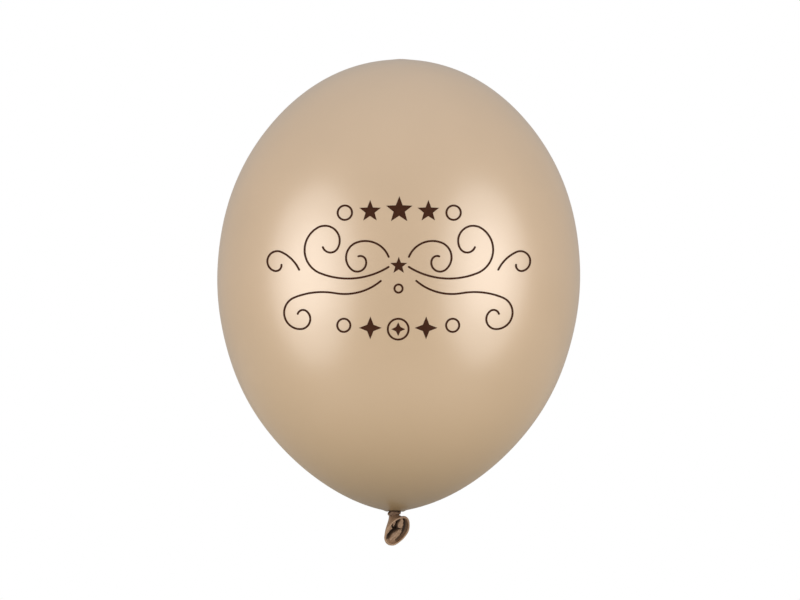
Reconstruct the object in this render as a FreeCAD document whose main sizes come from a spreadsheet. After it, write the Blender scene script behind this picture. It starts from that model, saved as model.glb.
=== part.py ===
import FreeCAD, Part
import os
from math import cos, pi, radians, sin

import Sketcher
from FreeCAD import Placement, Rotation, Vector

# A 30 cm latex party balloon, blown up and tied off, hanging knot down.
# Frame: millimetres, +Z up. The origin is the middle of the pinch between the envelope and its
# knot, where a ribbon is tied. -Y is the printed front, and +X is on the viewer's right.

# ---------------------------------------------------------------- driving dimensions

SIZES = {
    # envelope
    "belly_radius": 150.0,       # greatest radius, so 300 mm across
    "body_height": 374.0,        # pinch to crown
    "film_wall": 0.3,            # stands in for a film of about 0.02 mm
    # gathered neck inside the envelope
    "gather_radius": 3.9,        # bundle of pleats at the pinch
    "gather_height": 3.0,
    "gather_flare": 7.5,         # where the pleats open out into the envelope
    # knot
    "knot_gap": 0.3,             # running gap under the envelope
    "strand_radius": 3.5,        # bunched neck inside the coil
    "strand_length": 1.7,
    "waist_radius": 2.2,
    "coil_radius": 4.75,         # centreline of the turn around the strand
    "coil_tube": 1.15,
    "coil_sweep": 320.0,         # degrees of the turn; the crossing fills the rest
    "crossing_height": 1.45,     # half sizes of the strand that crosses the coil: along Z,
    "crossing_width": 1.2,       # along the coil,
    "crossing_depth": 1.0,       # and outwards
    "crossing_reach": 5.0,       # its middle from the axis
    # flexing root of the tail: balls and cups about one centre
    "flex_drop": 3.5,            # flex centre below the pinch
    "flex_ball": 2.4,
    "root_inside": 2.6,          # root's cup around the ball
    "root_outside": 3.2,
    "root_rim": -15.0,           # latitude of its rim, in degrees
    "cup_inside": 3.4,           # tail's cup around the root's
    "cup_outside": 4.0,
    "cup_rim": -40.0,
    "swing_room": 6.6,           # nothing of the tail's wall inside this radius
    # flared tail
    "mouth_long": 12.8,          # half axes of the mouth
    "mouth_short": 10.3,
    "skirt_depth": 15.0,
    "skirt_wall": 0.6,
    "web_drop": 2.9,             # web between cup and skirt, below the flex centre
    "web_wall": 0.7,
    "bead_radius": 0.8,          # rolled rim
    "bead_gap": 0.05,
    # print
    "ink_gap": 0.05,             # ink layer's clearance over the film
    "ink_depth": 0.15,
    "ink_stroke": 1.6,           # width of a pen stroke
    "print_middle": 199.0,       # height of the scrollwork's middle
}

# Right-hand outline of the envelope as the poles of one clamped cubic spline, from the crown down
# to the pinch: shares of belly_radius outwards and of body_height upwards.
OUTLINE = [
    (0.0, 1.0),        # crown, level across the axis
    (0.355, 1.0),
    (0.862, 0.832),    # shoulder
    (1.027, 0.57),     # belly
    (0.981, 0.377),
    (0.766, 0.164),    # flank that narrows to the neck
    (0.298, 0.017),
    (0.027, 0.0),      # pinch
]

# The mouth of the tail faces right, towards the viewer and a little down.
MOUTH_CENTRE = Vector(2.7, -3.0, -15.5)
MOUTH_NORMAL = Vector(0.66, -0.69, -0.30)
MOUTH_LONG_AXIS = Vector(0.41, 0.0, 0.91)
CROSSING_BEARING = 211.0     # degrees from +X, so the crossing strand is at the left front

# Scrollwork, right half: start (across, above print_middle), heading in degrees, then arcs as
# (radius, turn), a positive turn being to the left.
SCROLL_STROKES = [
    ((8, 2), -32, [(60, 54), (20, 128), (12, 150), (6.5, 130)]),
    ((8, 10), 68, [(20, -88), (12.5, -120), (7, -150), (4.5, -90)]),
    ((14, -9), -40, [(44, 50), (60, -32), (13, -160), (8, -140), (4.5, -110)]),
    ((79, 0), 64, [(30, -40), (8, -190), (4.5, -110)]),
]

# Small figures: (kind, across, above print_middle, radius). One off the middle has a twin on the
# other side.
TOP_ROW = [("star", 0, 47, 11), ("star", 23, 46, 9), ("ring", 43, 45, 6.5)]
CENTRE = [("star", 0, 3, 7), ("ring", 0, -15, 4)]
BOTTOM_ROW = [("ring", 0, -47, 9), ("spark", 0, -47, 5.5), ("diamond", 22, -46, 9), ("ring", 43, -44, 6)]

# Pointed figures: number of points, and radius at the inner corners as a share of the outer one.
POINTED = {"star": (5, 0.42), "spark": (4, 0.45), "diamond": (4, 0.4)}

doc = FreeCAD.newDocument("balloon")
sheet = doc.addObject("Spreadsheet::Sheet", "Sizes")
for row, (alias, value) in enumerate(SIZES.items(), start=1):
    sheet.set(f"A{row}", alias)
    sheet.set(f"B{row}", str(value))
    sheet.setAlias(f"B{row}", alias)
doc.recompute()


# ---------------------------------------------------------------- helpers

def make(kind, name, place=None, **bound):
    """A document object with a placement and properties bound to expressions."""
    obj = doc.addObject(kind, name)
    if place is not None:
        obj.Placement = place
    for prop, expression in bound.items():
        obj.setExpression(prop, str(expression))
    return obj


def boolean(kind, name, base, tool):
    obj = doc.addObject(f"Part::{kind}", name)
    obj.Base = base
    obj.Tool = tool
    return obj


def fuse(name, shapes):
    obj = doc.addObject("Part::MultiFuse", name)
    obj.Shapes = shapes
    return obj


def body_sketch(body, role, name):
    plane = next(f for f in body.Origin.OriginFeatures if f.Role == role)
    sketch = body.newObject("Sketcher::SketchObject", name)
    sketch.AttachmentSupport = [(plane, "")]
    sketch.MapMode = "FlatFace"
    return sketch


def pin(sketch, name, geometry, point, across, up):
    """Holds one point of a sketch at two distances from the sketch's origin."""
    for axis, kind, expression in (("x", "DistanceX", across), ("y", "DistanceY", up)):
        value = float(sheet.evalExpression(expression))
        index = sketch.addConstraint(Sketcher.Constraint(kind, -1, 1, geometry, point, value))
        sketch.renameConstraint(index, f"{name}_{axis}")
        sketch.setExpression(f"Constraints.{name}_{axis}", expression)


def revolve(body, sketch):
    turn = body.newObject("PartDesign::Revolution", f"{body.Name}_turn")
    turn.Profile = (sketch, [""])
    turn.ReferenceAxis = (sketch, ["V_Axis"])
    turn.Angle = 360.0
    body.Tip = turn
    return turn


def lathe(name, corners):
    """A body turned about Z from a closed outline of straight lines, given as expressions."""
    body = doc.addObject("PartDesign::Body", name)
    sketch = body_sketch(body, "XZ_Plane", f"{name}_outline")
    points = [Vector(*(float(sheet.evalExpression(e)) for e in corner), 0) for corner in corners]
    for index, start in enumerate(points):
        sketch.addGeometry(Part.LineSegment(start, points[(index + 1) % len(points)]), False)
    for index in range(len(points)):
        sketch.addConstraint(Sketcher.Constraint("Coincident", index, 2, (index + 1) % len(points), 1))
        pin(sketch, f"corner{index}", index, 1, *corners[index])
    revolve(body, sketch)
    return body


# ---------------------------------------------------------------- envelope and neck

def outline_curve(sketch, name, offset):
    """The envelope's outline, moved outwards by an offset, as a spline with pinned poles."""
    poles = []
    for across, up in OUTLINE:
        poles.append((
            f"{across} * (Sizes.belly_radius + {offset})",
            f"{up} * (Sizes.body_height + 2 * ({offset})) - ({offset})",
        ))
    places = [Vector(*(float(sheet.evalExpression(e)) for e in pole), 0) for pole in poles]
    spans = len(OUTLINE) - 3
    curve = Part.BSplineCurve()
    repeats = [4] + [1] * (spans - 1) + [4]
    curve.buildFromPolesMultsKnots(places, repeats, list(range(spans + 1)), False, 3)
    index = sketch.addGeometry(curve, False)
    first_inner = sketch.GeometryCount
    sketch.exposeInternalGeometry(index)
    circles = [i for i in range(first_inner, sketch.GeometryCount)
               if sketch.Geometry[i].TypeId == "Part::GeomCircle"]
    for number, (circle, pole) in enumerate(zip(circles, poles)):
        pin(sketch, f"{name}{number}", circle, 3, *pole)
    return index


def film(name, inner, outer):
    """A closed film between two offsets of the envelope's outline, turned about Z."""
    body = doc.addObject("PartDesign::Body", name)
    sketch = body_sketch(body, "XZ_Plane", f"{name}_outline")
    outside = outline_curve(sketch, "outside", outer)
    inside = outline_curve(sketch, "inside", inner)
    for end in (1, 2):
        start = sketch.Geometry[outside].StartPoint if end == 1 else sketch.Geometry[outside].EndPoint
        stop = sketch.Geometry[inside].StartPoint if end == 1 else sketch.Geometry[inside].EndPoint
        line = sketch.addGeometry(Part.LineSegment(start, stop), False)
        sketch.addConstraint(Sketcher.Constraint("Coincident", line, 1, outside, end))
        sketch.addConstraint(Sketcher.Constraint("Coincident", line, 2, inside, end))
    revolve(body, sketch)
    return body


def envelope_skin():
    return film("envelope_skin", "-Sizes.film_wall", "0")


def neck_gather():
    """The pleated film where it bunches together and leaves the envelope through the pinch."""
    return lathe("neck_gather", [
        ("0", "0"),
        ("Sizes.gather_radius", "0"),
        ("Sizes.gather_radius", "Sizes.gather_height / 2"),
        ("Sizes.gather_flare", "Sizes.gather_height"),
        ("0", "Sizes.gather_height + Sizes.gather_radius"),
    ])


# ---------------------------------------------------------------- knot

def at_height(expression):
    return {".Placement.Base.z": expression}


def knot_strand():
    """The neck inside the knot: a round bundle, then a waist and the ball that the tail flexes on."""
    bundle = make("Part::Cylinder", "strand_bundle", Radius="Sizes.strand_radius",
                  Height="Sizes.strand_length", **at_height("-Sizes.knot_gap - Sizes.strand_length"))
    waist = make("Part::Cylinder", "strand_waist", Radius="Sizes.waist_radius",
                 Height="Sizes.flex_drop - Sizes.knot_gap", **at_height("-Sizes.flex_drop"))
    ball = make("Part::Sphere", "strand_ball", Radius="Sizes.flex_ball", **at_height("-Sizes.flex_drop"))
    return fuse("knot_strand", [bundle, waist, ball])


def knot_coil():
    """The turn of the neck around itself, open where the crossing strand passes."""
    gap = (360.0 - SIZES["coil_sweep"]) / 2
    turned = Placement(Vector(), Rotation(Vector(0, 0, 1), CROSSING_BEARING + gap))
    return make("Part::Torus", "knot_coil", turned, Radius1="Sizes.coil_radius", Radius2="Sizes.coil_tube",
                Angle3="Sizes.coil_sweep", **at_height("-Sizes.knot_gap - Sizes.coil_tube"))


def knot_crossing():
    """The strand that comes down over the coil and tucks under it."""
    bearing = radians(CROSSING_BEARING)
    reach = Vector(cos(bearing), sin(bearing), 0) * SIZES["crossing_reach"]
    turned = Placement(reach, Rotation(Vector(0, 0, 1), CROSSING_BEARING))
    return make("Part::Ellipsoid", "knot_crossing", turned, Radius1="Sizes.crossing_height",
                Radius2="Sizes.crossing_depth", Radius3="Sizes.crossing_width",
                **at_height("-Sizes.knot_gap - Sizes.crossing_height"))


# ---------------------------------------------------------------- tail

def cup(name, inside, outside, rim):
    """A thin spherical cup about the flex centre, open upwards above the latitude of its rim."""
    shell = make("Part::Sphere", f"{name}_shell", Radius=outside, Angle1=-90, Angle2=rim,
                 **at_height("-Sizes.flex_drop"))
    hollow = make("Part::Sphere", f"{name}_hollow", Radius=inside, **at_height("-Sizes.flex_drop"))
    return boolean("Cut", name, shell, hollow)


def tail_root():
    """The film that leaves the knot and wraps the ball, between the two ways the tail flexes."""
    return cup("tail_root", "Sizes.root_inside", "Sizes.root_outside", "Sizes.root_rim")


def mouth_frame():
    return Placement(MOUTH_CENTRE, Rotation(MOUTH_LONG_AXIS, Vector(), MOUTH_NORMAL, "ZXY"))


def tail_skirt():
    """The flared tail: half an ellipsoid behind its mouth, hung from a cup on the flex centre."""
    outer = make("Part::Ellipsoid", "skirt_outer", mouth_frame(), Radius1="Sizes.skirt_depth",
                 Radius2="Sizes.mouth_long", Radius3="Sizes.mouth_short", Angle1=-90, Angle2=0)
    inner = make("Part::Ellipsoid", "skirt_inner", mouth_frame(),
                 Radius1="Sizes.skirt_depth - Sizes.skirt_wall",
                 Radius2="Sizes.mouth_long - Sizes.skirt_wall",
                 Radius3="Sizes.mouth_short - Sizes.skirt_wall")
    room = make("Part::Sphere", "skirt_room", Radius="Sizes.swing_room", **at_height("-Sizes.flex_drop"))
    web = make("Part::Cylinder", "skirt_web", Radius="Sizes.mouth_long + Sizes.swing_room",
               Height="Sizes.web_wall",
               **at_height("-Sizes.flex_drop - Sizes.web_drop - Sizes.web_wall"))
    hole = make("Part::Sphere", "skirt_hole", Radius="Sizes.cup_inside", **at_height("-Sizes.flex_drop"))

    hollow = boolean("Cut", "skirt_hollow", inner, web)
    room = boolean("Cut", "skirt_room_off_web", room, web)
    skirt = boolean("Cut", "skirt_with_web", outer, hollow)
    skirt = boolean("Cut", "skirt_clear_of_knot", skirt, room)
    skirt = boolean("Cut", "skirt_open", skirt, hole)
    socket = cup("skirt_cup", "Sizes.cup_inside", "Sizes.cup_outside", "Sizes.cup_rim")
    return fuse("tail_skirt", [skirt, socket])


def rim_bead():
    """The rolled rim around the mouth."""
    half_wall = SIZES["skirt_wall"] / 2
    lift = SIZES["bead_radius"] + SIZES["bead_gap"]
    on_mouth = mouth_frame().multiply(Placement(Vector(0, 0, lift), Rotation()))
    start = Placement(Vector(SIZES["mouth_long"] - half_wall, 0, 0), Rotation(Vector(1, 0, 0), 90))
    path = make("Part::Ellipse", "bead_path", on_mouth,
                MajorRadius="Sizes.mouth_long - Sizes.skirt_wall / 2",
                MinorRadius="Sizes.mouth_short - Sizes.skirt_wall / 2")
    section = make("Part::Circle", "bead_section", on_mouth.multiply(start), Radius="Sizes.bead_radius")
    bead = doc.addObject("Part::Sweep", "rim_bead")
    bead.Sections = [section]
    bead.Spine = (path, ["Edge1"])
    bead.Solid = True
    return bead


# ---------------------------------------------------------------- print

def face_sketch(name):
    """A sketch on the upright plane through the axis, its normal towards the front."""
    sketch = doc.addObject("Sketcher::SketchObject", name)
    sketch.Placement = Placement(Vector(), Rotation(Vector(1, 0, 0), 90))
    return sketch


def prism(name, base):
    """Runs a flat figure forwards through the front of the film."""
    obj = make("Part::Extrusion", name, LengthFwd="Sizes.belly_radius + 10 * Sizes.ink_gap")
    obj.Base = base
    obj.DirMode = "Custom"
    obj.Dir = Vector(0, -1, 0)
    obj.Solid = True
    obj.FaceMakerClass = "Part::FaceMakerBullseye"
    return obj


def stroke(name, start, heading, arcs, side):
    """A pen stroke of tangent arcs; side is 1 for the right half and -1 for its mirror image."""
    sketch = face_sketch(f"{name}_line")
    x, y = start[0], start[1] + SIZES["print_middle"]
    angle = radians(heading)
    for radius, turn in arcs:
        way = 1 if turn > 0 else -1
        cx = x - way * radius * sin(angle)
        cy = y + way * radius * cos(angle)
        points = [Vector(side * x, y, 0)]
        for share in (0.5, 1.0):
            now = angle + radians(turn) * share
            points.append(Vector(side * (cx + way * radius * sin(now)), cy - way * radius * cos(now), 0))
        sketch.addGeometry(Part.Arc(*points), False)
        x, y = side * points[2].x, points[2].y
        angle += radians(turn)
    pen = make("Part::Offset2D", f"{name}_pen", Value="Sizes.ink_stroke / 2")
    pen.Source = sketch
    pen.Mode = "Pipe"
    pen.Join = "Arc"
    pen.Fill = True
    return prism(name, pen)


def ring(name, x, z, radius):
    sketch = face_sketch(f"{name}_line")
    for r in (radius, radius - SIZES["ink_stroke"]):
        sketch.addGeometry(Part.Circle(Vector(x, z, 0), Vector(0, 0, 1), r), False)
    return prism(name, sketch)


def star(name, x, z, radius, points, waist):
    """A pointed figure with its first point up."""
    sketch = face_sketch(f"{name}_line")
    corners = []
    for k in range(2 * points):
        reach = radius * (1 if k % 2 == 0 else waist)
        corners.append(Vector(x + reach * sin(pi * k / points), z + reach * cos(pi * k / points), 0))
    for k, corner in enumerate(corners):
        sketch.addGeometry(Part.LineSegment(corner, corners[(k + 1) % len(corners)]), False)
    return prism(name, sketch)


def printed(name, ink, prisms):
    """Keeps what the prisms cut out of the ink layer on the front of the film."""
    return boolean("Common", name, ink, fuse(f"{name}_figures", prisms))


def printed_row(name, ink, figures):
    """A node of small figures, each off the middle one twice."""
    prisms = []
    for number, (kind, across, above, radius) in enumerate(figures):
        for side in (-1, 1) if across else (1,):
            label = f"{name}_{kind}{number}{'l' if side < 0 else 'r'}"
            place = (side * across, SIZES["print_middle"] + above, radius)
            if kind == "ring":
                prisms.append(ring(label, *place))
            else:
                prisms.append(star(label, *place, *POINTED[kind]))
    return printed(name, ink, prisms)


def printed_scroll(name, ink, side):
    return printed(name, ink, [stroke(f"{name}_stroke{number}", *parts, side)
                               for number, parts in enumerate(SCROLL_STROKES)])


def print_nodes():
    ink = film("ink_layer", "Sizes.ink_gap", "(Sizes.ink_gap + Sizes.ink_depth)")
    return [
        printed_row("print_top_row", ink, TOP_ROW),
        printed_scroll("print_scroll_left", ink, -1),
        printed_scroll("print_scroll_right", ink, 1),
        printed_row("print_centre", ink, CENTRE),
        printed_row("print_bottom_row", ink, BOTTOM_ROW),
    ]


# ---------------------------------------------------------------- build, check, write

nodes = [
    envelope_skin(),
    neck_gather(),
    knot_strand(),
    knot_coil(),
    knot_crossing(),
    tail_root(),
    tail_skirt(),
    rim_bead(),
] + print_nodes()
doc.recompute()

for obj in doc.Objects:
    if "Invalid" in obj.State or "Error" in obj.State:
        raise RuntimeError(f"{obj.Name} failed: {obj.State}")

os.makedirs("parts", exist_ok=True)
for node in nodes:
    shape = node.Shape
    if shape.isNull() or not shape.isValid() or not shape.Solids:
        raise RuntimeError(f"{node.Label} has no valid solid")
    box = shape.BoundBox
    print(f"{node.Label:20s} solids {len(shape.Solids):2d}  volume {shape.Volume:9.2f}"
          f"  x {box.XMin:7.2f} {box.XMax:7.2f}  y {box.YMin:7.2f} {box.YMax:7.2f}"
          f"  z {box.ZMin:7.2f} {box.ZMax:7.2f}")
    shape.exportStep(f"parts/{node.Label}.step")

# The bead's volume against its section times its length.
perimeter = doc.getObject("bead_path").Shape.Length
print("bead volume over section times length:",
      round(doc.getObject("rim_bead").Shape.Volume / (pi * SIZES["bead_radius"] ** 2 * perimeter), 4))
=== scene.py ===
"""A tied 30 cm latex party balloon, knot down: its looks, in metres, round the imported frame."""
import math

import bpy
import numpy as np
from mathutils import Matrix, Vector
from mathutils.bvhtree import BVHTree


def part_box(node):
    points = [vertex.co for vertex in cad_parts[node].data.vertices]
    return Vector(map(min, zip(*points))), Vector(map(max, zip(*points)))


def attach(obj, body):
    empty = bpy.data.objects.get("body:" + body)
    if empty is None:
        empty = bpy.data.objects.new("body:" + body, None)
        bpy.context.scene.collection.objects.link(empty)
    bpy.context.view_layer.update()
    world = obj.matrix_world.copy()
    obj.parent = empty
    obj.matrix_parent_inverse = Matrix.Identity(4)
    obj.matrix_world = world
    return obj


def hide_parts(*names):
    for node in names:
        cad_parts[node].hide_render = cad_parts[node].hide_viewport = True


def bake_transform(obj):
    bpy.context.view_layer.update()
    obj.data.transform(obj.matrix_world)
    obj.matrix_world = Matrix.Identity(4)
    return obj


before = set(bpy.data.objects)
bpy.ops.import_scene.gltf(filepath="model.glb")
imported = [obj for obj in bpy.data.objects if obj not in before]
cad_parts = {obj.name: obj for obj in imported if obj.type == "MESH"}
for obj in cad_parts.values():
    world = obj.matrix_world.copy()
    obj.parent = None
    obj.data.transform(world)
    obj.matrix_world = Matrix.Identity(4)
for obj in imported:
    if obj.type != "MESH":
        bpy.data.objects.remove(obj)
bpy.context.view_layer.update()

MM = 0.001
TAU = 2 * math.pi

# ------------------------------------------------------------------ the frame's own sizes

skin_low, skin_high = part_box("envelope_skin")
BELLY = (skin_high.x - skin_low.x) / 2
HEIGHT = skin_high.z

# The envelope's outline, from the crown to the pinch: shares of BELLY outwards and HEIGHT upwards.
OUTLINE = [
    (0.0, 1.0),
    (0.355, 1.0),
    (0.862, 0.832),
    (1.027, 0.57),
    (0.981, 0.377),
    (0.766, 0.164),
    (0.298, 0.017),
    (0.027, 0.0),
]

FLEX = Vector((0, 0, -3.5 * MM))    # centre about which the tail swings

# Mouth of the tail: centre, the way it faces, and its long and short directions.
MOUTH = np.array((1.9, -3.8, -15.8)) * MM
MOUTH_OUT = np.array((0.63, -0.69, -0.35))
MOUTH_OUT /= np.linalg.norm(MOUTH_OUT)
MOUTH_LONG = np.array((0.49, 0.0, 0.87))
MOUTH_LONG -= MOUTH_OUT * MOUTH_LONG.dot(MOUTH_OUT)
MOUTH_LONG /= np.linalg.norm(MOUTH_LONG)
MOUTH_SHORT = np.cross(MOUTH_OUT, MOUTH_LONG)
HALF_LONG = 13.25 * MM
HALF_SHORT = 11.7 * MM
SKIRT_DEPTH = 15.0 * MM
BEAD = 0.85 * MM                # radius of the rolled rim
BEAD_INSET = 0.45 * MM          # its middle's place, in from the mouth's edge and out of its plane
LIP = 1.25 * MM                 # from the mouth's edge to where the inside starts
FILM_GAP = 0.6 * MM             # least distance between the inside and the outside


# ------------------------------------------------------------------ mesh helpers

def add_mesh(name, verts, faces):
    """A smooth-shaded mesh object, linked to the scene."""
    mesh = bpy.data.meshes.new(name)
    mesh.from_pydata([tuple(v) for v in verts], [], faces)
    mesh.validate()
    mesh.polygons.foreach_set("use_smooth", [True] * len(mesh.polygons))
    mesh.update()
    obj = bpy.data.objects.new(name, mesh)
    bpy.context.scene.collection.objects.link(obj)
    return obj


def tube_mesh(name, rings, start_pole, end_pole):
    """A closed surface through rings of equal length, with a point closing each end."""
    rows, cols = rings.shape[:2]
    verts = [start_pole, *rings.reshape(-1, 3), end_pole]
    last = len(verts) - 1
    faces = []
    for j in range(cols):
        k = (j + 1) % cols
        faces.append((0, 1 + k, 1 + j))
        faces.append((last, last - cols + j, last - cols + k))
        for i in range(rows - 1):
            a = 1 + i * cols
            b = a + cols
            faces.append((a + j, a + k, b + k, b + j))
    return add_mesh(name, verts, faces)


def set_painted_shade(obj, values):
    """Tells the material how much painted shade each point gets, from 0 to 1."""
    depth = obj.data.attributes.new("painted_shade", "FLOAT", "POINT")
    depth.data.foreach_set("value", np.asarray(values, np.float32))


def smoothstep(low, high, x):
    """0 up to low and 1 from high on, with an S-shaped rise between."""
    t = np.clip((np.asarray(x, float) - low) / (high - low), 0, 1)
    return t * t * (3 - 2 * t)


def wrapped(angle):
    """An angle brought to between -pi and pi."""
    return (np.asarray(angle) + math.pi) % TAU - math.pi


def creases(angle, places):
    """Sum of narrow valleys round a turn, given as (place, width, depth) in degrees and units."""
    total = np.zeros_like(angle)
    for where, width, depth in places:
        away = wrapped(angle - math.radians(where)) / math.radians(width)
        total = total - depth * np.exp(-away ** 2)
    return total


def bspline(poles, u):
    """Points of a clamped uniform cubic B-spline at parameters u from 0 to len(poles) - 3."""
    poles = np.asarray(poles, float)
    spans = len(poles) - 3
    knots = np.concatenate(([0] * 3, np.arange(spans + 1), [spans] * 3))
    out = []
    for value in np.clip(u, 0, spans - 1e-9):
        k = 3 + int(value)
        d = [poles[i + k - 3].copy() for i in range(4)]
        for r in range(1, 4):
            for i in range(3, r - 1, -1):
                left = knots[i + k - 3]
                share = (value - left) / (knots[i + 1 + k - r] - left)
                d[i] = (1 - share) * d[i - 1] + share * d[i]
        out.append(d[3])
    return np.array(out)


# ------------------------------------------------------------------ envelope

NECK_LEAN = 2.2 * MM            # step to the right just above the knot
NECK_LEAN_RISE = 8 * MM         # height over which most of that step is made
CROWN_LEAN = 3.0 * MM           # further lean to the right, reached at the crown


def lean(z):
    """How far the envelope's middle stands to the right of its knot at a height."""
    z = np.clip(np.asarray(z, float), 0, None)
    step = NECK_LEAN * (1 - np.exp(-z / NECK_LEAN_RISE))
    return step + CROWN_LEAN * np.clip(z / HEIGHT, 0, 1) ** 1.3


outline = bspline(OUTLINE, np.linspace(0, len(OUTLINE) - 3, 1200)) * (BELLY, HEIGHT)


def skin_radius(z):
    """The envelope's radius at a height."""
    return np.interp(z, outline[::-1, 1], outline[::-1, 0])


def neck_pleats(count, seed):
    """Irregular pleats round the neck, as (place, width, depth) with depths from 0.4 to 1."""
    rng = np.random.default_rng(seed)
    places = []
    for k in range(count):
        place = 360 * (k + rng.uniform(-0.3, 0.3)) / count
        width = rng.uniform(4, 8)
        depth = rng.uniform(0.4, 1.0)
        places.append((place, width, depth))
    return places


def envelope():
    """The inflated film, down to where it disappears into the knot."""
    rows, cols = 250, 288
    pleat_depth = 0.26 * MM
    pleat_start, pleat_reach = 4 * MM, 5 * MM
    bulge_radius, bulge_width = 7.0 * MM, 2.1 * MM
    # closer rows towards the pinch, where the film bulges round the knot and is pleated
    share = 1 - (1 - np.linspace(0, 1, rows + 1)[1:]) ** 1.5
    profile = bspline(OUTLINE, share * (len(OUTLINE) - 3)) * (BELLY, HEIGHT)
    inside_knot = np.array([(3.8, -0.25), (3.7, -0.6), (3.3, -1.1), (2.4, -1.5)]) * MM
    profile = np.vstack([profile, inside_knot])
    angle = np.arange(cols) / cols * TAU
    pleat = creases(angle, neck_pleats(23, 3))
    # round the knot the film hangs lower at both sides and lifts in front
    lift = np.exp(-(wrapped(angle + math.pi / 2) / 0.85) ** 2)
    sag = 0.65 * (1 + 0.35 * np.cos(2 * angle) + 0.12 * np.sin(3 * angle + 1)) * (1 - lift)
    rings = np.zeros((len(profile), cols, 3))
    for i, (radius, z) in enumerate(profile):
        beyond = max(radius - pleat_start, 0)
        depth = pleat_depth * math.exp(-beyond / pleat_reach)
        bulge = MM * math.exp(-((radius - bulge_radius) / bulge_width) ** 2)
        r = radius + 0.3 * depth * pleat
        rings[i, :, 0] = r * np.cos(angle) + lean(z)
        rings[i, :, 1] = r * np.sin(angle)
        rings[i, :, 2] = z - depth * pleat + bulge * (1.1 * lift - sag)
    top = (lean(HEIGHT), 0, HEIGHT)
    bottom = (0, 0, -1.6 * MM)
    obj = tube_mesh("balloon_skin", rings, top, bottom)
    # painted shade: the film near the pinch, on the underside only, is darkened for the shadowed
    # recess above the knot, and the point closing its lower end fully
    underside = profile[:, 1] < 5 * MM
    pinch_shade = np.repeat(smoothstep(7.2 * MM, 4.6 * MM, profile[:, 0]) * underside, cols)
    set_painted_shade(obj, [0, *pinch_shade, 1])
    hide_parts("envelope_skin")
    return obj


# ------------------------------------------------------------------ print

def conformed_print(node):
    """The printed figures of a CAD node, laid onto the leaning skin as a thin coat of ink."""
    lifted, thinned = 0.03 * MM, 0.4
    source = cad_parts[node]
    mesh = source.data.copy()
    obj = bpy.data.objects.new(f"ink_{node[6:]}", mesh)
    bpy.context.scene.collection.objects.link(obj)
    for vert in mesh.vertices:
        x, y, z = vert.co
        surface = float(skin_radius(z))
        stands = math.hypot(x, y) - surface
        radius = surface + lifted + thinned * stands
        angle = math.atan2(y, x)
        vert.co = (radius * math.cos(angle) + float(lean(z)), radius * math.sin(angle), z)
    mesh.update()
    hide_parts(node)
    return obj


# ------------------------------------------------------------------ knot and throat

def swept(path, radius_at, sides, name):
    """A closed tube along a path, its section radius given by radius_at(share, angle)."""
    path = np.asarray(path, float)
    tangents = np.gradient(path, axis=0)
    tangents /= np.linalg.norm(tangents, axis=1)[:, None]
    angle = np.arange(sides) / sides * TAU
    rings = np.zeros((len(path), sides, 3))
    up = np.array((0.0, 0.0, 1.0))
    for i, (point, tangent) in enumerate(zip(path, tangents)):
        side = np.cross(tangent, up)
        side /= np.linalg.norm(side)
        over = np.cross(side, tangent)
        r = radius_at(i / (len(path) - 1), angle)
        rings[i] = point + (r * np.cos(angle))[:, None] * side + (r * np.sin(angle))[:, None] * over
    return tube_mesh(name, rings, path[0], path[-1])


def swept_upright(path, radius_at, sides, name):
    """A closed tube down a mostly upright path, its section kept level."""
    angle = np.arange(sides) / sides * TAU
    rings = np.zeros((len(path), sides, 3))
    for i, point in enumerate(path):
        r = radius_at(i / (len(path) - 1), angle)
        rings[i, :, 0] = point[0] + r * np.cos(angle)
        rings[i, :, 1] = point[1] + r * np.sin(angle)
        rings[i, :, 2] = point[2]
    return tube_mesh(name, rings, path[0], path[-1])


def knot_roll():
    """The neck wound once round itself, a twisted bundle of pleats, its ends tucked under."""
    turns = 1.16
    count = 150
    share = np.linspace(0, 1, count)
    bearing = math.radians(205) + share * turns * TAU
    reach = (4.0 + 0.45 * np.sin(math.pi * share) - 1.3 * smoothstep(0.9, 1.0, share)
             - 1.0 * smoothstep(0.08, 0.0, share)) * MM
    height = (-1.25 - 1.0 * smoothstep(0.55, 1.0, share) + 0.35 * np.sin(3.1 * bearing)) * MM
    path = np.stack([reach * np.cos(bearing) - 0.2 * MM, reach * np.sin(bearing), height], axis=1)

    def radius(at, angle):
        taper = math.sqrt(max(0.02, min(1.0, 14 * at, 14 * (1 - at))))
        twist = angle + at * 9
        folds = 0.13 * np.cos(3 * twist) + 0.09 * np.cos(7 * twist + 2)
        folds = folds + 0.05 * np.cos(11 * twist + at * 20)
        return 1.18 * MM * taper * (1 + folds + 0.1 * math.sin(at * 17))

    obj = swept(path, radius, 40, "knot_roll")
    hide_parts("knot_coil")
    return obj


def knot_tuck():
    """The strand that comes down over the roll at the left and disappears under it."""
    share = np.linspace(0, 1, 40)
    bearing = math.radians(211) + 0.35 * (share - 0.5)
    reach = (4.2 + 1.0 * np.sin(math.pi * share) ** 0.7) * MM
    height = (-0.5 - 3.1 * share) * MM
    path = np.stack([reach * np.cos(bearing), reach * np.sin(bearing), height], axis=1)

    def radius(at, angle):
        taper = math.sqrt(max(0.03, min(1.0, 6 * at, 6 * (1 - at))))
        return 1.0 * MM * taper * (1 + 0.14 * np.cos(4 * angle + 5 * at) + 0.08 * np.cos(7 * angle))

    obj = swept_upright(path, radius, 28, "knot_tuck")
    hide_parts("knot_crossing")
    return obj


def knot_core():
    """The bunched neck in the middle of the roll."""
    share = np.linspace(0, 1, 24)
    path = np.stack([0 * share, 0 * share, (-0.4 - 3.6 * share) * MM], axis=1)
    pleats = neck_pleats(13, 5)

    def radius(at, angle):
        return (3.6 - 1.2 * at ** 2) * MM + 0.35 * MM * creases(angle, pleats)

    obj = swept_upright(path, radius, 120, "knot_core")
    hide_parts("knot_strand")
    return obj


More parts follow.
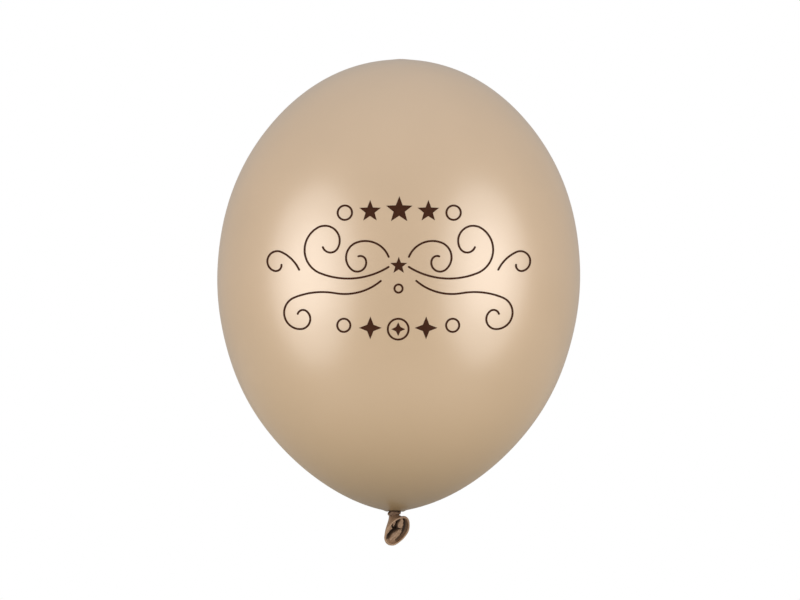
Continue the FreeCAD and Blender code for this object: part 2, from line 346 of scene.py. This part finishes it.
def throat():
    """The pleated film that leaves the knot and opens into the tail."""
    rows, cols = 30, 160
    share = np.linspace(0, 1, rows)
    angle = np.arange(cols) / cols * TAU
    folds = creases(angle, neck_pleats(11, 8)) + 0.35 * np.sin(3 * angle + 1)
    rings = np.zeros((rows, cols, 3))
    for i, t in enumerate(share):
        # its lower end sinks into the skirt
        radius = (4.35 - 1.5 * smoothstep(0.35, 1, t)) * MM + 0.5 * MM * (1 - 0.6 * t) * folds
        rings[i, :, 0] = radius * np.cos(angle) - (0.2 + 0.3 * t) * MM
        rings[i, :, 1] = radius * np.sin(angle) - 0.2 * MM * t
        rings[i, :, 2] = (-1.7 - 2.9 * t) * MM
    obj = tube_mesh("throat", rings, (0, 0, -1.6 * MM), (0, 0, -4.4 * MM))
    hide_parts("tail_root")
    return obj


# ------------------------------------------------------------------ tail

def mouth_point(along, across, out):
    """A point given in the mouth's own directions."""
    along, across, out = np.broadcast_arrays(along, across, out)
    return (MOUTH + along[..., None] * MOUTH_LONG + across[..., None] * MOUTH_SHORT
            + out[..., None] * MOUTH_OUT)


# Deep folds of the film inside the mouth: points (along, across), half width and depth, all in mm.
MOUTH_FOLDS = [
    ([(9.6, 2.6), (4.2, 2.2), (1.3, 0.1)], 1.5, 6.0),
    ([(3.2, 7.2), (0.8, 4.2), (1.3, 0.1)], 0.7, 4.6),
    ([(1.3, 0.1), (-2.8, 2.4), (-8.0, 3.8)], 1.8, 6.0),
    ([(1.3, 0.1), (2.8, -5.7)], 0.5, 4.0),
    ([(11.2, -4.2), (8.8, -7.4), (3.4, -9.5)], 1.9, 7.5),
    ([(3.4, -9.5), (-2.6, -9.9), (-8.0, -7.6)], 1.2, 5.5),
]
DEEPEST_FOLD = 7.5
# Crests of the film between them: points, half width and height.
MOUTH_CRESTS = [
    ([(9.0, -1.4), (4.4, -3.6)], 2.0, 1.6),
    ([(0.4, -2.6), (-3.9, -2.2), (-9.4, 0.4)], 1.4, 1.7),
    ([(5.2, 5.4), (3.8, 4.6)], 1.0, 0.9),
    ([(0.0, 8.4), (-6.0, 9.0)], 1.7, 1.0),
]


def from_polyline(along, across, points):
    """Distance of places in the mouth from a line through points."""
    nearest = np.full(along.shape, np.inf)
    for (a0, c0), (a1, c1) in zip(points, points[1:]):
        run = np.array((a1 - a0, c1 - c0))
        share = ((along - a0) * run[0] + (across - c0) * run[1]) / run.dot(run)
        share = np.clip(share, 0, 1)
        gap = np.hypot(along - a0 - share * run[0], across - c0 - share * run[1])
        nearest = np.minimum(nearest, gap)
    return nearest


def fold_relief(along, across):
    """Height of the collapsed film over the plane of the mouth in mm, and how much painted shade it
    gets in the folds, from 0 to 1.
    """
    height = -2.1 + 0.10 * np.sin(1.7 * along + 0.6 * across)
    for points, width, rise in MOUTH_CRESTS:
        height = height + rise * np.exp(-(from_polyline(along, across, points) / width) ** 2)
    sunk = np.zeros_like(height)
    shade = np.zeros_like(height)
    for points, width, depth in MOUTH_FOLDS:
        gap = from_polyline(along, across, points) / width
        sunk = np.maximum(sunk, depth * np.exp(-gap ** 4))
        # painted shade: the walls of a fold are darkened nearly up to its edge
        shade = np.maximum(shade, depth / DEEPEST_FOLD * np.exp(-(gap / 1.25) ** 6))
    return height - sunk, shade


def straightness(phi, t):
    """How far the skirt is stretched straight, t of the way from throat to rim.

    Its left side is straight below the throat and bulges a little towards the rim. Its right side,
    which is pulled back, bulges sooner."""
    left = smoothstep(-0.35, 0.5, np.cos(phi - math.radians(115)))
    return 0.95 * left * (1 - 0.45 * t) + 0.7 * (1 - left) * (1 - t)


def wall_finder(rings):
    """A function that tells how far the film of rings lies behind places in the mouth."""
    rows, cols = rings.shape[:2]
    index = np.arange(rows * cols).reshape(rows, cols)
    beside = np.roll(index, -1, axis=1)
    quads = np.stack([index[:-1], beside[:-1], beside[1:], index[1:]], axis=-1).reshape(-1, 4)
    wall = BVHTree.FromPolygons(rings.reshape(-1, 3).tolist(), quads.tolist())
    inward = Vector(-MOUTH_OUT)

    def depth(along, across):
        places = mouth_point(along, across, 0 * along).tolist()
        hits = [wall.ray_cast(place, inward, SKIRT_DEPTH)[3] for place in places]
        return np.array([SKIRT_DEPTH if hit is None else hit for hit in hits])

    return depth


def skirt_rings(phi, wobble):
    """The outside, from the rounded shoulder under the knot down to the rim."""
    # directions from the mouth's centre, as if the skirt were half a unit ball
    throat_place = np.array(FLEX) + np.array((-0.5, -0.3, -0.2)) * MM - MOUTH
    pole = np.array((throat_place.dot(MOUTH_LONG) / HALF_LONG,
                     throat_place.dot(MOUTH_SHORT) / HALF_SHORT,
                     throat_place.dot(MOUTH_OUT) / SKIRT_DEPTH))
    pole /= np.linalg.norm(pole)
    rim = np.stack([np.cos(phi), np.sin(phi), 0 * phi], axis=1)
    between = np.arccos(np.clip(rim @ pole, -1, 1))
    fold = creases(phi, neck_pleats(15, 11))
    hole = math.radians(18)

    def shell(t):
        """Where the skirt would be if it were part of the ball, t of the way from throat to rim."""
        turned = hole + (between - hole) * t
        ball = np.sin(between - turned)[:, None] * pole + np.sin(turned)[:, None] * rim
        ball = ball / np.sin(between)[:, None] * (1 + (wobble[:, None] - 1) * t)
        swell = 1 - 0.08 * math.sin(math.pi * t) + 0.035 * fold * (1 - t) * smoothstep(0, 0.15, t)
        return mouth_point(ball[:, 0] * HALF_LONG * swell, ball[:, 1] * HALF_SHORT * swell,
                           ball[:, 2] * SKIRT_DEPTH * swell)

    rings = []
    for t in np.linspace(0, 1, 44):
        chord = (1 - t) * shell(0) + t * shell(1)
        straight = straightness(phi, t)[:, None]
        rings.append((1 - straight) * shell(t) + straight * chord)

    top = rings[0].mean(axis=0)
    shoulder = top + 0.82 * (rings[0] - top) + np.array((0, 0, 0.6 * MM))
    return [shoulder, *rings]


def rim_rings(phi, wobble):
    """The rolled rim, round its bead from the outside to the inside."""
    bead = BEAD * (1 + 0.10 * np.sin(4 * phi + 1) + 0.05 * np.sin(9 * phi))
    rings = []
    for turn in np.radians(np.linspace(-75, 235, 26)):
        along = (HALF_LONG * wobble - BEAD_INSET + bead * math.cos(turn)) * np.cos(phi)
        across = (HALF_SHORT * wobble - BEAD_INSET + bead * math.cos(turn)) * np.sin(phi)
        rings.append(mouth_point(along, across, BEAD_INSET + bead * math.sin(turn)))
    return rings


def inside_rings(phi, wobble, wall_depth):
    """The collapsed inside, which can't pass through the outside, and how much painted fold shade each
    point gets.
    """
    rings = []
    shade = []
    for rho in 1 - np.linspace(0.02, 0.985, 84) ** 0.95:
        along = (HALF_LONG - LIP) * rho * wobble * np.cos(phi)
        across = (HALF_SHORT - LIP) * rho * wobble * np.sin(phi)
        inward = smoothstep(1.0, 0.94, rho)
        height, dark = fold_relief(along / MM, across / MM)
        out = inward * height * MM
        lowest = FILM_GAP - wall_depth(along, across)
        out = (out + lowest + np.hypot(out - lowest, 0.5 * MM * inward)) / 2
        rings.append(mouth_point(along, across, out))
        shade.append(inward * dark)
    return rings, shade


def tail_skin():
    """The flared tail as one closed surface: from the throat over the outside, round the rolled
    rim and back inside, where the collapsed film folds together in the middle of the mouth."""
    phi = np.arange(320) / 320 * TAU
    wobble = 1 - 0.055 * np.sin(2 * phi) + 0.012 * np.sin(5 * phi + 2)
    skirt = skirt_rings(phi, wobble)
    rim = rim_rings(phi, wobble)
    inside, dark = inside_rings(phi, wobble, wall_finder(np.array(skirt[1:] + rim)))
    rings = np.array(skirt + rim + inside)
    # painted fold shade: none on the outside and the rim, the folds' shade inside, full at the inner
    # end point
    shade = [0 * phi] * len(skirt + rim) + dark
    start = rings[0].mean(axis=0)
    end = rings[-1].mean(axis=0) - MOUTH_OUT * 0.4 * MM
    obj = tube_mesh("tail_skin", rings, start, end)
    set_painted_shade(obj, np.concatenate([[0], *shade, [1]]))
    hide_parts("tail_skirt", "rim_bead")
    return obj


# ------------------------------------------------------------------ materials

def new_material(name):
    material = bpy.data.materials.new(name)
    material.use_nodes = True
    nodes = material.node_tree.nodes
    return material, nodes, material.node_tree.links, nodes["Principled BSDF"]


def noise(nodes, links, coords, scale, detail=2.0):
    tex = nodes.new("ShaderNodeTexNoise")
    tex.inputs["Scale"].default_value = scale
    tex.inputs["Detail"].default_value = detail
    links.new(coords, tex.inputs["Vector"])
    return tex.outputs["Fac"]


def remap(nodes, links, value, low, high, to_low, to_high):
    node = nodes.new("ShaderNodeMapRange")
    node.inputs["From Min"].default_value = low
    node.inputs["From Max"].default_value = high
    node.inputs["To Min"].default_value = to_low
    node.inputs["To Max"].default_value = to_high
    links.new(value, node.inputs["Value"])
    return node.outputs["Result"]


def calculate(nodes, links, operation, *values):
    node = nodes.new("ShaderNodeMath")
    node.operation = operation
    for socket, value in zip(node.inputs, values):
        if isinstance(value, (int, float)):
            socket.default_value = value
        else:
            links.new(value, socket)
    return node.outputs[0]


def mix_color(nodes, links, factor, a, b):
    node = nodes.new("ShaderNodeMix")
    node.data_type = "RGBA"
    for socket, value in ((node.inputs["A"], a), (node.inputs["B"], b)):
        if isinstance(value, tuple):
            socket.default_value = (*value, 1)
        else:
            links.new(value, socket)
    links.new(factor, node.inputs["Factor"])
    return node.outputs["Result"]


def paint_fold_shade(nodes, links, base):
    """Painted shade: points marked as lying deep in a fold, or in the recess by the pinch, are
    darkened nearly to black.
    """
    attribute = nodes.new("ShaderNodeAttribute")
    attribute.attribute_name = "painted_shade"
    deep = remap(nodes, links, attribute.outputs["Fac"], 0.08, 0.6, 0, 0.9)
    # the painted shade's near-black colour
    return mix_color(nodes, links, deep, base, (0.035, 0.020, 0.014))


def bump(nodes, links, height, strength, distance, shader):
    node = nodes.new("ShaderNodeBump")
    node.inputs["Strength"].default_value = strength
    node.inputs["Distance"].default_value = distance
    links.new(height, node.inputs["Height"])
    links.new(node.outputs["Normal"], shader.inputs["Normal"])


def pearl_latex():
    """Pearlescent gold latex, stretched thin: deeper in colour and darker towards the neck, partly
    from the thicker film there and partly painted shade of the underside, with painted shade in the
    recess at the pinch.
    """
    material, nodes, links, shader = new_material("pearl_latex")
    coords = nodes.new("ShaderNodeTexCoord").outputs["Object"]
    split = nodes.new("ShaderNodeSeparateXYZ")
    links.new(coords, split.inputs[0])

    cloud = remap(nodes, links, noise(nodes, links, coords, 14, 3), 0.3, 0.7, 0, 1)
    base = mix_color(nodes, links, cloud, (0.655, 0.455, 0.270), (0.685, 0.475, 0.284))
    flake = remap(nodes, links, noise(nodes, links, coords, 1400, 2), 0.35, 0.65, 0, 0.06)
    base = mix_color(nodes, links, flake, base, (0.80, 0.64, 0.46))
    # darker and deeper in colour towards the neck: partly the less stretched, thicker film there,
    # partly painted shade of the underside
    low = remap(nodes, links, split.outputs["Z"], 0.0, 0.2, 1, 0)
    base = mix_color(nodes, links, low, base, (0.60, 0.39, 0.18))
    # darkest brown just above the neck: partly thick film, partly painted shade
    slack = calculate(nodes, links, "POWER", low, 4.2)
    base = mix_color(nodes, links, slack, base, (0.24, 0.15, 0.06))
    base = paint_fold_shade(nodes, links, base)
    links.new(base, shader.inputs["Base Color"])
    rough = remap(nodes, links, noise(nodes, links, coords, 40, 2), 0.3, 0.7, 0.51, 0.55)
    links.new(rough, shader.inputs["Roughness"])
    shader.inputs["Metallic"].default_value = 0.2
    gloss = remap(nodes, links, split.outputs["Z"], 0.0, 0.12, 0.25, 1)
    links.new(gloss, shader.inputs["Coat Weight"])
    shader.inputs["Coat IOR"].default_value = 2.2
    shader.inputs["Coat Roughness"].default_value = 0.28
    bump(nodes, links, noise(nodes, links, coords, 900, 2), 0.05, 0.0001, shader)
    return material


def slack_latex():
    """The same latex unstretched: darker, duller and finely creased, with painted shade near the pinch
    and in its folds.
    """
    material, nodes, links, shader = new_material("slack_latex")
    coords = nodes.new("ShaderNodeTexCoord").outputs["Object"]
    patch = remap(nodes, links, noise(nodes, links, coords, 260, 3), 0.3, 0.7, 0, 1)
    base = mix_color(nodes, links, patch, (0.35, 0.215, 0.13), (0.42, 0.27, 0.165))
    # painted shade: darker the nearer it is to the pinch, where the envelope shades the knot
    split = nodes.new("ShaderNodeSeparateXYZ")
    links.new(coords, split.inputs[0])
    knot_top_shade = remap(nodes, links, split.outputs["Z"], -6 * MM, -2.5 * MM, 0, 0.7)
    base = mix_color(nodes, links, knot_top_shade, base, (0.15, 0.085, 0.05))
    base = paint_fold_shade(nodes, links, base)
    links.new(base, shader.inputs["Base Color"])
    rough = remap(nodes, links, noise(nodes, links, coords, 700, 2), 0.3, 0.7, 0.46, 0.60)
    links.new(rough, shader.inputs["Roughness"])
    shader.inputs["Metallic"].default_value = 0.25
    bump(nodes, links, noise(nodes, links, coords, 1500, 4), 0.2, 0.0001, shader)
    return material


def brown_ink():
    """Dull dark brown printing ink."""
    material, nodes, links, shader = new_material("brown_ink")
    coords = nodes.new("ShaderNodeTexCoord").outputs["Object"]
    patch = remap(nodes, links, noise(nodes, links, coords, 300, 3), 0.35, 0.7, 0, 1)
    base = mix_color(nodes, links, patch, (0.048, 0.014, 0.005), (0.062, 0.020, 0.008))
    links.new(base, shader.inputs["Base Color"])
    rough = remap(nodes, links, noise(nodes, links, coords, 500, 2), 0.3, 0.7, 0.45, 0.55)
    links.new(rough, shader.inputs["Roughness"])
    shader.inputs["Specular IOR Level"].default_value = 0.12
    return material


def paint(obj, material):
    """Gives a piece one material all over, in its one material slot."""
    obj.data.materials.clear()
    obj.data.materials.append(material)
    obj.data.polygons.foreach_set("material_index", [0] * len(obj.data.polygons))


# ------------------------------------------------------------------ studio

def soft_light(name, place, target, width, height, watts):
    """An oval panel of soft light."""
    data = bpy.data.lights.new(name, "AREA")
    data.shape = "ELLIPSE"
    data.size = width
    data.size_y = height
    data.energy = watts
    obj = bpy.data.objects.new(name, data)
    obj.location = place
    obj.rotation_euler = (Vector(target) - Vector(place)).to_track_quat("-Z", "Y").to_euler()
    bpy.context.scene.collection.objects.link(obj)


def studio():
    """A large soft box on each side of the camera, brighter in its middle, between white walls."""
    middle = Vector((0, 0, 0.5 * HEIGHT))
    bearing = math.radians(55)
    rise = 0.035
    for word, side in (("left", -1), ("right", 1)):
        towards = Vector((math.sin(bearing * side), -math.cos(bearing * side), rise))
        soft_light(f"softbox_{word}", middle + 1.8 * towards, middle, 2.0, 2.5, 14.5)
        soft_light(f"softbox_{word}_core", middle + 1.75 * towards, middle, 1.06, 1.22, 3.2)

    world = bpy.data.worlds.new("studio_walls")
    bpy.context.scene.world = world
    world.use_nodes = True
    nodes, links = world.node_tree.nodes, world.node_tree.links
    nodes.clear()
    direction = nodes.new("ShaderNodeTexCoord").outputs["Generated"]
    split = nodes.new("ShaderNodeSeparateXYZ")
    links.new(direction, split.inputs[0])
    up = split.outputs["Z"]
    # walls 0.39 at eye level, the ceiling 0.75
    slope = calculate(nodes, links, "MULTIPLY_ADD", up, 0.30, 0.06)
    walls = calculate(nodes, links, "MULTIPLY_ADD", up, slope, 0.39)
    seen = nodes.new("ShaderNodeLightPath").outputs["Is Camera Ray"]
    strength = nodes.new("ShaderNodeMix")
    links.new(seen, strength.inputs["Factor"])
    links.new(walls, strength.inputs["A"])
    strength.inputs["B"].default_value = 1.0
    background = nodes.new("ShaderNodeBackground")
    background.inputs["Color"].default_value = (1, 1, 1, 1)
    links.new(strength.outputs["Result"], background.inputs["Strength"])
    out = nodes.new("ShaderNodeOutputWorld")
    links.new(background.outputs[0], out.inputs["Surface"])


def floor():
    """A plain pale round floor, far below the hanging balloon."""
    mesh = bpy.data.meshes.new("floor")
    reach = 7.0
    level = -1.3
    sides = 96
    turns = [TAU * k / sides for k in range(sides)]
    around = [(reach * math.cos(turn), reach * math.sin(turn), level) for turn in turns]
    mesh.from_pydata(around, [], [tuple(range(sides))])
    obj = bpy.data.objects.new("floor", mesh)
    bpy.context.scene.collection.objects.link(obj)
    material, nodes, links, shader = new_material("pale_floor")
    coords = nodes.new("ShaderNodeTexCoord").outputs["Object"]
    shade = remap(nodes, links, noise(nodes, links, coords, 3, 2), 0.3, 0.7, 0, 1)
    base = mix_color(nodes, links, shade, (0.80, 0.80, 0.79), (0.83, 0.83, 0.82))
    links.new(base, shader.inputs["Base Color"])
    shader.inputs["Roughness"].default_value = 0.8
    mesh.materials.append(material)


def camera():
    """Level, straight in front, 3 m from the balloon's axis."""
    data = bpy.data.cameras.new("camera")
    data.sensor_width = 36.0
    data.lens = 163.0
    data.clip_start = 0.05
    data.clip_end = 60
    obj = bpy.data.objects.new("camera", data)
    obj.location = (0.00455, -3.0, 0.175)
    obj.rotation_euler = (math.radians(90), 0, 0)
    bpy.context.scene.collection.objects.link(obj)
    bpy.context.scene.camera = obj


# ------------------------------------------------------------------ put together

camera()
studio()
floor()
bpy.context.scene.view_settings.view_transform = "Standard"

film = pearl_latex()
slack = slack_latex()
ink = brown_ink()

skin = envelope()
paint(skin, film)
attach(skin, "envelope")

PRINTS = (
    "print_top_row",
    "print_scroll_left",
    "print_scroll_right",
    "print_centre",
    "print_bottom_row",
)
for node in PRINTS:
    figure = conformed_print(node)
    paint(figure, ink)
    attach(figure, "envelope")

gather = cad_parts["neck_gather"]
gather.data.materials.clear()
gather.data.materials.append(slack)

for piece in (knot_roll(), knot_tuck(), knot_core()):
    paint(piece, slack)
    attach(piece, "knot")

funnel = throat()
paint(funnel, slack)
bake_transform(funnel)

tail = tail_skin()
paint(tail, slack)
towards = Vector(MOUTH) - FLEX
towards.normalize()
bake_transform(tail)
